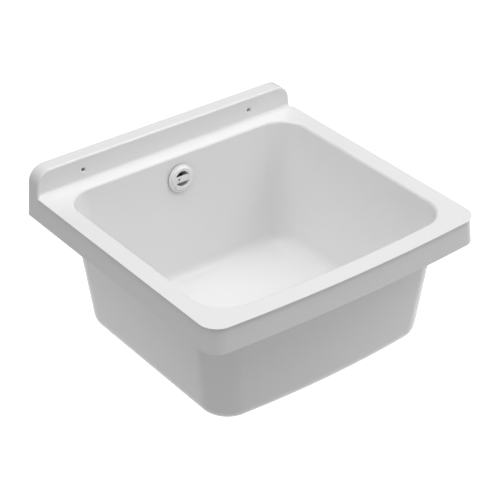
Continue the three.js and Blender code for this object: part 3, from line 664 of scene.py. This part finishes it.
def grille_openings():
    """The two D-shaped cutters, flared a little at the face so that their rims are soft."""
    cutters = []
    for side in (-1, 1):
        rings = []
        for z, grow in ((4.5, 0), (grille_face - 0.5, 0), (grille_face, 0.5), (9.2, 0.7)):
            radius, flat = collar_bore - gap + 1.4 * grow, bar_half + 0.5 - grow
            start = atan2(flat, sqrt(radius ** 2 - flat ** 2))
            curve = arc(0, 0, radius, start, pi - start, 40)
            rings.append(at_height(curve * (1, side), z))
        cutters.append(loft(rings))
    return cutters


chain_hole = turned([(0, 4), (1.9, 4), (1.9, 6.9), (2.3, 7.35), (2.6, 9), (0, 9)], 0, 32)
chain_hole.transform(Matrix.Translation((chain_side * MM, 0, 0)))
cover = combined(cover, "DIFFERENCE", *grille_openings(), chain_hole)
white_cover = finish(
    "white_cover",
    lambda t: shaded(t, (0.85, 0.85, 0.85), (0.88, 0.88, 0.88), noise(t, 0.03, 3.0)),
    lambda t: 0.18 + noise(t, 0.02, 3.0) * 0.08,
    lambda t: (noise(t, 0.002, 2.0), 0.00001),
    IOR=1.5,
)
piece("overflow_cover", put(cover, overflow_place), white_cover, "white_trim", "overflow_rosette")

# ------------------------------------------------------------------------------------------ overflow seals
# Two rings cut from black rubber sheet: one under the cover's flange, one between the bowl's back and the
# elbow. The cover's thread squeezes both.

gasket_face = -(bowl_wall + gap)
gasket_back = gasket_face - 2.5
black_rubber = finish(
    "black_rubber",
    lambda t: shaded(t, (0.018, 0.018, 0.019), (0.045, 0.045, 0.047), noise(t, 0.004, 4.0)),
    lambda t: 0.7 + noise(t, 0.003, 3.0) * 0.2,
    lambda t: (noise(t, 0.0004, 2.0) + noise(t, 0.004) * 2.0, 0.00004),
    IOR=1.5,
)


def ring(inner, outer, low, high, edge=0.3):
    return turned([(inner, low), (outer, low), (outer, high), (inner, high)], edge)


seal = ring(overflow_hole, cover_radius - 1, gap, gap + front_seal)
piece("overflow_cover_seal", put(seal, overflow_place), black_rubber, "black_rubber", "overflow_front_seal")
seal = ring(overflow_hole, 25, gasket_back, gasket_face)
seal = put(seal, overflow_place)
piece("overflow_elbow_seal", seal, black_rubber, "black_rubber", "overflow_back_gasket")

# ------------------------------------------------------------------------------------------ overflow elbow
# One grey plastic moulding: a chamber whose flange stands against the bowl's back, held by the cover's
# threaded collar. Its own threaded spigot points down the wall.

elbow_face = gasket_back - gap
outlet_axis = -27.5
outlet_end = 39.5
spigot_radius = 13.0
spigot_bore = 9.5
elbow_back = -40.3

grey_plastic = finish(
    "grey_plastic",
    lambda t: shaded(t, (0.36, 0.365, 0.37), (0.43, 0.435, 0.44), noise(t, 0.02, 4.0)),
    lambda t: 0.42 + noise(t, 0.01, 3.0) * 0.12,
    lambda t: (noise(t, 0.0006, 2.0) + noise(t, 0.01) * 3.0, 0.00002),
    IOR=1.49,
)


def spigot(length):
    """A threaded spigot along z, with its first threads led in."""
    wall = spigot_radius
    thread = (wall, length - 14, length - 0.3, 1.8, 0.7)
    return turned([(0, 0), (wall, 0, 0), (wall, length, 0.5), (0, length)], 0.5, 96, thread)


chamber = turned([
    (0, elbow_back), (20.5, elbow_back, 2.5), (20.5, elbow_face - 3, 0.8), (26, elbow_face - 3, 0.6),
    (26, elbow_face, 0.5), (0, elbow_face),
])
down_wall = Matrix.Translation((0, 0, outlet_axis * MM)) @ Matrix.Rotation(pi / 2, 4, "X")
outlet = spigot(outlet_end)
outlet.transform(down_wall)
bore = rod(spigot_bore, 0, outlet_end + 1)
bore.transform(down_wall)
elbow = combined(chamber, "UNION", outlet)
elbow = combined(elbow, "DIFFERENCE", rod(17.5, outlet_axis - 9.8, elbow_face + 1), bore)
elbow = put(elbow, overflow_place)
piece("overflow_elbow_moulding", elbow, grey_plastic, "grey_plumbing", "overflow_elbow")

# ------------------------------------------------------------------------------------------ hose joints
# At each end of the hose a flat washer and a moulded nut with six grip bars, which pulls the hose's end
# flange onto its spigot. Each joint is made with z towards the hose.

inlet_reach = 72.0
inlet_axis = -43.1
waste_place = Matrix.Translation((0, drain_y * MM, seat_z * MM))
upper_joint = overflow_place @ Matrix.Translation((0, -outlet_end * MM, outlet_axis * MM))
upper_joint @= Matrix.Rotation(pi / 2, 4, "X")
lower_joint = waste_place @ Matrix.Translation((0, inlet_reach * MM, inlet_axis * MM))
lower_joint @= Matrix.Rotation(-pi / 2, 4, "X")


def group_with(name, *sockets):
    """A Geometry Nodes group with named inputs, and its tree."""
    group = bpy.data.node_groups.new(name, "GeometryNodeTree")
    for label, kind in (("Geometry", "Geometry"), *sockets):
        group.interface.new_socket(name=label, in_out="INPUT", socket_type="NodeSocket" + kind)
    group.interface.new_socket(name="Geometry", in_out="OUTPUT", socket_type="NodeSocketGeometry")
    return group, Tree(group)


def grown(data, group, **given):
    """The mesh that a Geometry Nodes group makes of a mesh or a curve."""
    work = as_object(data)
    modifier = work.modifiers.new("nodes", "NODES")
    modifier.node_group = group
    for item in group.interface.items_tree:
        if item.in_out == "INPUT" and item.name in given:
            modifier[item.identifier] = given[item.name]
    return settled(work)


sockets = (("Count", "Int"), ("Turn", "Float"), ("Material", "Material"))
copies, tree = group_with("copies_round_an_axis", *sockets)
given = tree.node("NodeGroupInput")
angle = tree.node("GeometryNodeInputIndex")["Index"] * (2 * pi) / given["Count"] + given["Turn"]
made = tree.node("GeometryNodePoints", None, {"Count": given["Count"]})["Points"]
rotation = tree.node("ShaderNodeCombineXYZ", None, {"Z": angle})["Vector"]
sockets = {"Points": made, "Instance": given["Geometry"], "Rotation": rotation}
made = tree.node("GeometryNodeInstanceOnPoints", None, sockets)["Instances"]
made = tree.node("GeometryNodeRealizeInstances", None, {"Geometry": made})["Geometry"]
sockets = {"Geometry": made, "Material": given["Material"]}
made = tree.node("GeometryNodeSetMaterial", None, sockets)["Geometry"]
tree.node("NodeGroupOutput", None, {"Geometry": made})


def round_axis(mesh, count, turn=0.0, material=grey_plastic):
    return grown(mesh, copies, Count=count, Turn=turn, Material=material)


def joint_nut():
    body = turned([
        (13.3, -9), (17.3, -9, 0.6), (17.3, 7.9, 1.4), (11.3, 7.9), (11.3, 5.4), (13.3, 5.4),
    ])
    half = [(15.3, -2.0), (18.3, -2.0), (18.9, -1.7), (19.1, -1.2)]
    plan = half + [(x, -y) for x, y in half[::-1]]
    levels = [(-9, 0.5), (-8.5, 0), (4.6, 0), (5.4, 0.7)]
    bar = loft([at_height(np.array(plan) - (inset, 0), z) for z, inset in levels])
    return combined(body, "UNION", round_axis(bar, 6, pi / 6))


for level, joint in (("upper", upper_joint), ("lower", lower_joint)):
    washer = ring(spigot_bore, spigot_radius - gap, gap, gap + 2)
    piece("hose_seal_" + level, put(washer, joint), black_rubber, "black_rubber", "hose_washer_" + level)
    nut = put(joint_nut(), joint)
    piece("hose_coupling_" + level, nut, grey_plastic, "grey_plumbing", "hose_nut_" + level)

# ------------------------------------------------------------------------------------------ overflow hose
# Flexible hose, blow-moulded in grey plastic: plain cuffs with an end flange, and ribs between. It drops
# beside the bowl, turns in one bend and runs level to the waste, held at both ends.

hose_start = 2 * gap + 2
hose_bend = 50.0
cuff_length = 25.0
rib_pitch = 6.0

hose_from = np.array(upper_joint @ Vector((0, 0, hose_start * MM))) / MM
hose_to = np.array(lower_joint @ Vector((0, 0, hose_start * MM))) / MM
down = np.array((0, -sin(wall_tilt), -cos(wall_tilt)))
across = np.array((0, -cos(wall_tilt), sin(wall_tilt)))
hose_turn = pi / 2 - wall_tilt
drop = (hose_from[2] - hose_to[2]) / cos(wall_tilt)
corner = hose_from + drop * down
drop -= hose_bend * tan(hose_turn / 2)
bend_start = hose_from + drop * down
turns = np.linspace(0, hose_turn, 49)
bend = [bend_start + hose_bend * (sin(t) * down + (1 - cos(t)) * across) for t in turns]
hose_path = [hose_from, *line(hose_from, bend_start, 12), *bend, *line(bend[-1], hose_to, 8), hose_to]
hose_length = drop + hose_bend * hose_turn + float(np.linalg.norm(hose_to - bend[-1]))
rib_count = round((hose_length - 2 * cuff_length) / rib_pitch)

ribbed, tree = group_with(
    "ribbed_hose", ("Root", "Float"), ("Crest", "Float"), ("Cuff", "Float"), ("Flange", "Float"),
    ("Cuff Length", "Float"), ("Flange Length", "Float"), ("Ribs", "Int"), ("Material", "Material"),
)
given = tree.node("NodeGroupInput")
sockets = {"Curve": given["Geometry"], "Length": 0.0005}
curve = tree.node("GeometryNodeResampleCurve", {"mode": "LENGTH"}, sockets)["Curve"]
total = tree.node("GeometryNodeSplineLength")["Length"]
along = tree.node("GeometryNodeSplineParameter")["Length"]
from_end = along.maths("MINIMUM", total - along)
cuff = given["Cuff Length"]
wave = ((along - cuff) / (total - 2 * cuff) * given["Ribs"] * (2 * pi)).maths("COSINE", 0)
rib = given["Root"] + (given["Crest"] - given["Root"]) * ((1 - wave) * 0.5) ** 0.6
on_cuff = from_end.maths("LESS_THAN", cuff)
on_flange = from_end.maths("LESS_THAN", given["Flange Length"])
radius = rib + (given["Cuff"] - rib) * on_cuff
radius = radius + (given["Flange"] - given["Cuff"]) * on_flange
sockets = {"Resolution": 40, "Radius": 1.0}
section = tree.node("GeometryNodeCurvePrimitiveCircle", {"mode": "RADIUS"}, sockets)["Curve"]
sockets = {"Curve": curve, "Profile Curve": section, "Scale": radius, "Fill Caps": True}
made = tree.node("GeometryNodeCurveToMesh", None, sockets)["Mesh"]
made = tree.node("GeometryNodeRealizeInstances", None, {"Geometry": made})["Geometry"]
sockets = {"Geometry": made, "Material": given["Material"]}
made = tree.node("GeometryNodeSetMaterial", None, sockets)["Geometry"]
tree.node("NodeGroupOutput", None, {"Geometry": made})

grey_hose = finish(
    "grey_hose",
    lambda t: shaded(t, (0.42, 0.425, 0.43), (0.5, 0.505, 0.51), noise(t, 0.015, 4.0)),
    lambda t: 0.4 + noise(t, 0.006, 3.0) * 0.15,
    lambda t: (noise(t, 0.0008, 2.0) + noise(t, 0.006) * 2.0, 0.00003),
    IOR=1.5,
)


def tube(path, **sizes):
    """A closed tube along a path, whose radius the group works out from the distance along it."""
    data = bpy.data.curves.new("path", "CURVE")
    data.dimensions = "3D"
    spline = data.splines.new("POLY")
    spline.points.add(len(path) - 1)
    for point, place in zip(spline.points, path):
        point.co = (*(np.array(place) * MM), 1)
    mesh = grown(data, ribbed, Material=grey_hose, **sizes)
    work = bmesh.new()
    work.from_mesh(mesh)
    bmesh.ops.remove_doubles(work, verts=work.verts, dist=1e-7)
    bmesh.ops.recalc_face_normals(work, faces=work.faces)
    work.to_mesh(mesh)
    work.free()
    return mesh


sizes = {"Root": 10.3, "Crest": 12.0, "Cuff": 11.0, "Flange": 13.0}
sizes |= {"Cuff Length": cuff_length, "Flange Length": 2.5}
outside = tube(hose_path, Ribs=rib_count, **{name: value * MM for name, value in sizes.items()})
beyond = [hose_from - down, *hose_path, hose_to + np.array((0, -1, 0))]
sizes = {"Root": 9.0, "Crest": 9.0, "Cuff": 9.0, "Flange": 9.0, "Cuff Length": 5.0, "Flange Length": 1.0}
inside = tube(beyond, Ribs=1, **{name: value * MM for name, value in sizes.items()})
hose = combined(outside, "DIFFERENCE", inside)
piece("overflow_hose_ribbed", hose, grey_hose, "grey_hose", "overflow_hose")

# ------------------------------------------------------------------------------------------ strainer
# Pressed from stainless sheet: a flange in the floor's sunk seat and a cup with eight drain holes, one seal
# above the floor and a gasket below it. The centre screw clamps it to the waste.

flange_under = front_seal + 2 * gap
flange_radius = 57.0
steel_sheet = 1.2
cup_floor = -31.9


def about_waste(tree):
    """Coordinates whose x is the distance from the waste's axis, so that noise draws rings round it."""
    place = tree.node("ShaderNodeTexCoord")["Object"]
    shifted = {0: place, 1: (0.0, drain_y * MM, 0.0)}
    place = tree.node("ShaderNodeVectorMath", {"operation": "SUBTRACT"}, shifted)["Vector"]
    part = tree.node("ShaderNodeSeparateXYZ", None, {"Vector": place})
    radius = (part["X"] * part["X"] + part["Y"] * part["Y"]) ** 0.5
    return tree.node("ShaderNodeCombineXYZ", None, {"X": radius, "Z": part["Z"]})["Vector"]


stainless = finish(
    "satin_stainless",
    lambda t: shaded(t, (0.54, 0.55, 0.56), (0.66, 0.67, 0.68), noise(t, 0.012, 3.0)),
    lambda t: 0.24 + noise(t, 0.0006, 2.0, about_waste(t)) * 0.16 + noise(t, 0.02) * 0.05,
    lambda t: (noise(t, 0.0004, 3.0, about_waste(t)), 0.00001),
    Metallic=1.0,
)
cup = turned([
    (0, cup_floor), (38, cup_floor, 0), (41, cup_floor + 3, 0), (45, -0.9, 0), (48, flange_under, 0),
    (flange_radius, flange_under, 0.4), (flange_radius, flange_under + steel_sheet, 0.6),
    (47.4, flange_under + steel_sheet, 3), (43.8, -0.9, 3), (39.8, -28.3, 3),
    (37.4, cup_floor + steel_sheet, 3), (0, cup_floor + steel_sheet),
], 0.2, 128)
hole = rod(4.5, -33, -29, 32)
hole.transform(Matrix.Translation((17 * MM, 0, 0)))
cup = combined(cup, "DIFFERENCE", round_axis(hole, 8, pi / 8, stainless), rod(4.4, -33, -29, 32))
piece("strainer", put(cup, waste_place), stainless, "stainless_steel", "strainer_cup")
seal = ring(49, flange_radius - 1, gap, gap + front_seal)
piece("strainer_seal", put(seal, waste_place), black_rubber, "black_rubber", "strainer_top_seal")
seal = ring(46.5, 59, -8.8, -5.8, 0.5)
piece("strainer_gasket", put(seal, waste_place), black_rubber, "black_rubber", "strainer_under_gasket")

# ------------------------------------------------------------------------------------------ waste
# Grey mouldings: a body with a collar, chamber, cone and sleeve, with a hub on three spokes inside it. A pipe
# for the overflow is welded into its side, and a threaded tail is pushed into its sleeve.

waste_top = -9.1
cone_top = -55.1
cone_end = -63.1
hub_foot = -72.1
tail_seat = -73.1
sleeve_end = -79.1
tail_end = -96.1
tail_bore = 20.0
tail_radius = 23.9
socket_radius = 24.2
sleeve_radius = 27.7
chamber_radius = 50.0
collar_reach = 60.0
waste_bore = 46.5
hub_top = -56.1


def waste_inside():
    return turned([
        (0, sleeve_end - 1), (socket_radius, sleeve_end - 1), (socket_radius, tail_seat),
        (tail_bore, tail_seat), (tail_bore, cone_end + 1, 2), (waste_bore, cone_top + 1, 3),
        (waste_bore, waste_top + 1), (0, waste_top + 1),
    ], 0, 128)


def along_inlet(mesh):
    mesh.transform(Matrix.Translation((0, 0, inlet_axis * MM)) @ Matrix.Rotation(-pi / 2, 4, "X"))
    return mesh


body = turned([
    (0, sleeve_end), (sleeve_radius, sleeve_end, 0.8), (sleeve_radius, cone_end, 2),
    (chamber_radius, cone_top, 4), (chamber_radius, waste_top - 4, 1.5),
    (collar_reach, waste_top - 4, 0.8), (collar_reach, waste_top, 0.5), (0, waste_top),
], 0.5, 128)
hole = along_inlet(rod(spigot_radius + gap, waste_bore / 2, 51))
body = combined(body, "DIFFERENCE", waste_inside(), hole)
spoke = block((0, -2, hub_foot), (tail_bore + 1.95, 2, cone_end - 1))
hub = turned([(0, hub_foot), (10, hub_foot), (10, hub_top), (0, hub_top)], 0.5)
hub = combined(hub, "UNION", round_axis(spoke, 3, pi / 2))
body = combined(body, "UNION", hub)
body = combined(body, "DIFFERENCE", rod(6.3, -67.7, hub_top + 1.1), rod(4.1, hub_foot - 1, hub_top + 1.1))
piece("waste_moulding", put(body, waste_place), grey_plastic, "grey_plumbing", "waste_body")

pipe = along_inlet(combined(spigot(inlet_reach), "DIFFERENCE", rod(15, -1, waste_bore / 2)))
pipe = combined(pipe, "DIFFERENCE", waste_inside(), along_inlet(rod(spigot_bore, 0, inlet_reach + 1)))
piece("waste_inlet", put(pipe, waste_place), grey_plastic, "grey_plumbing", "waste_inlet_pipe")

tail = turned([
    (tail_bore, tail_end), (tail_radius, tail_end, 0.8),
    (tail_radius, tail_seat - gap), (tail_bore, tail_seat - gap),
], 0.5, 128, (tail_radius, tail_end + 0.3, sleeve_end - 1, 2.3, 1.0))
piece("waste_outlet", put(tail, waste_place), grey_plastic, "grey_plumbing", "waste_tail")

# ------------------------------------------------------------------------------------------ waste screw
# A slotted stainless screw with a rubber washer under its head. It goes through the strainer's centre and
# is turned into a brass insert, which is moulded into the waste's hub.

head_low = -29.1
screw = turned([
    (0, -70.1), (3.8, -70.1, 1), (3.8, head_low, 0),
    (7.5, head_low), (7.5, head_low + 3.4, 1.2), (0, head_low + 3.4),
], 0.2, 64, (3.8, -69, -52, 1.25, 0.5))
slot = block((-8, -0.7, -27.3), (8, 0.7, -25))
screw = combined(screw, "DIFFERENCE", slot)
piece("clamp_screw", put(screw, waste_place), stainless, "stainless_steel", "waste_screw")
washer = ring(4.1, 8.2, -30.4, -29.4, 0.2)
piece("clamp_washer", put(washer, waste_place), black_rubber, "black_rubber", "waste_screw_washer")
brass = finish(
    "turned_brass",
    lambda t: shaded(t, (0.62, 0.45, 0.19), (0.74, 0.56, 0.27), noise(t, 0.004, 3.0)),
    lambda t: 0.28 + noise(t, 0.0005, 2.0, about_waste(t)) * 0.16,
    lambda t: (noise(t, 0.0003, 2.0, about_waste(t)), 0.00001),
    Metallic=1.0,
)
insert = ring(4.1, 6, -67.4, -56.4, 0.2)
piece("clamp_insert", put(insert, waste_place), brass, "brass", "waste_screw_insert")

# ------------------------------------------------------------------------------------------ basket
# The loose basket that lifts out by its knob: thin stainless sheet with two rows of holes, a rubber seal
# under it that closes the waste, and a riveted post with a moulded knob.

basket = turned([
    (0, -23.2), (10, -23.2, 0.8), (11.5, -27.6, 0.6), (34, -27.6, 2.5), (38, -6.6, 0.8), (40, -6.6, 0.45),
    (40, -5.6, 0.45), (37, -5.6, 1.6), (33, -26.6, 1.6), (12.5, -26.6, 1.2), (11, -22.2, 1.4), (0, -22.2),
], 0.3, 112)
holes = []
for z, turn in ((-19.6, 0), (-12.6, pi / 14)):
    hole = rod(2.6, 20, 45, 24)
    hole.transform(Matrix.Translation((0, 0, z * MM)) @ Matrix.Rotation(pi / 2, 4, "Y"))
    holes.append(round_axis(hole, 14, turn, stainless))
basket = combined(basket, "DIFFERENCE", *holes)
piece("basket_pressing", put(basket, waste_place), stainless, "stainless_steel", "basket", body="basket")
seal = ring(11.5, 25, -30.4, -27.9, 0.8)
piece("basket_stopper", put(seal, waste_place), black_rubber, "black_rubber", "basket_seal", body="basket")
post = turned([
    (0, -21.9), (5, -21.9), (5, -20.7, 0.6), (3, -20.7, 0.8), (3, -1.9, 0.4), (0, -1.9),
], 0.2, 48)
piece("basket_stem", put(post, waste_place), stainless, "stainless_steel", "basket_post", body="basket")
knob = turned([
    (0, -1.6), (3.3, -1.6), (3.3, -10.4), (6.5, -10.4, 0.8),
    (9, -7.9, 2), (9, -1.4, 2), (6.5, 1.1, 2.5), (0, 1.1),
], 0.2, 64)
piece("basket_grip", put(knob, waste_place), grey_plastic, "grey_plumbing", "basket_knob", body="basket")

# ------------------------------------------------------------------------------------------ stage
# A pale floor well below the sink, whose part behind the sink glows so that it reads as white. Large soft
# lamps stand above, beside and in front, and the camera looks from the photograph's angle.

floor_level = -0.85
floor_reach = 14.0
pool_centre = (1.0, 1.0, floor_level)


def lit_pool(tree):
    """How much the floor glows: all of it about the pool's centre, fading out at its edge."""
    place = tree.node("ShaderNodeTexCoord")["Object"]
    away = tree.node("ShaderNodeVectorMath", {"operation": "DISTANCE"}, {0: place, 1: pool_centre})["Value"]
    edge = {"Value": away, "From Min": 1.3, "From Max": 2.2, "To Min": 1.0, "To Max": 0.0}
    return tree.node("ShaderNodeMapRange", {"interpolation_type": "SMOOTHSTEP"}, edge)["Result"]


white_floor = finish(
    "pale_floor",
    lambda t: shaded(t, (0.68, 0.68, 0.68), (0.70, 0.70, 0.70), noise(t, 1.5)),
    lambda t: 0.9 + noise(t, 0.5) * 0.05,
    lambda t: (noise(t, 0.05), 0.0001),
    Emission_Color=lambda t: shaded(t, (0, 0, 0), (1, 1, 1), lit_pool(t)),
    Emission_Strength=0.8,
    Alpha=lambda t: 1 - t.node("ShaderNodeNewGeometry")["Backfacing"],
)
corners = [(x * floor_reach, y * floor_reach, floor_level) for x, y in ((-1, -1), (1, -1), (1, 1), (-1, 1))]
plane = mesh_of(corners, [[0, 1, 2, 3]], 1)
plane.materials.append(white_floor)
ground = as_object(plane, "floor")


def soft_light(name, place, target, size, power):
    lamp = bpy.data.lights.new(name, "AREA")
    lamp.shape = "RECTANGLE"
    lamp.size, lamp.size_y = size
    lamp.energy = power
    made = bpy.data.objects.new(name, lamp)
    bpy.context.scene.collection.objects.link(made)
    made.location = place
    made.rotation_euler = (Vector(target) - Vector(place)).to_track_quat("-Z", "Y").to_euler()


soft_light("overhead", (0.0, -0.27, 2.6), (0, -0.27, 0), (3.0, 3.0), 41)
soft_light("overhead_near", (0.0, -0.27, 1.4), (0, -0.27, 0), (1.2, 1.2), 3)
soft_light("front_right", (1.8, -1.8, 2.4), (0, -0.3, 0), (1.6, 1.6), 23)
soft_light("right", (2.8, -0.4, 1.3), (0, -0.3, 0), (1.6, 1.6), 18.5)
soft_light("left", (-2.0, -0.3, 2.2), (0, -0.3, 0), (2.0, 2.0), 15.5)
soft_light("low_left", (-2.6, -0.3, 0.2), (0, -0.3, -0.1), (1.4, 2.0), 4.5)
soft_light("low_front", (0.3, -2.6, 0.2), (0, -0.3, -0.1), (2.0, 1.4), 7.5)

world = bpy.data.worlds.new("studio")
bpy.context.scene.world = world
world.use_nodes = True
world.node_tree.nodes["Background"].inputs["Color"].default_value = (1, 1, 1, 1)
world.node_tree.nodes["Background"].inputs["Strength"].default_value = 0.1

camera = bpy.data.cameras.new("camera")
camera.sensor_width = 36
camera.lens = 120.356
camera.clip_end = 100
eye = bpy.data.objects.new("camera", camera)
bpy.context.scene.collection.objects.link(eye)
eye.location = (-1.4768, -2.1812, 1.4545)
azimuth, elevation = -37.602 * pi / 180, 32.615 * pi / 180
back = Vector((sin(azimuth) * cos(elevation), -cos(azimuth) * cos(elevation), sin(elevation)))
eye.rotation_euler = (-back).to_track_quat("-Z", "Y").to_euler()
bpy.context.scene.camera = eye

view = bpy.context.scene.view_settings
view.view_transform = "Standard"
view.look = "None"
view.exposure = 0.0
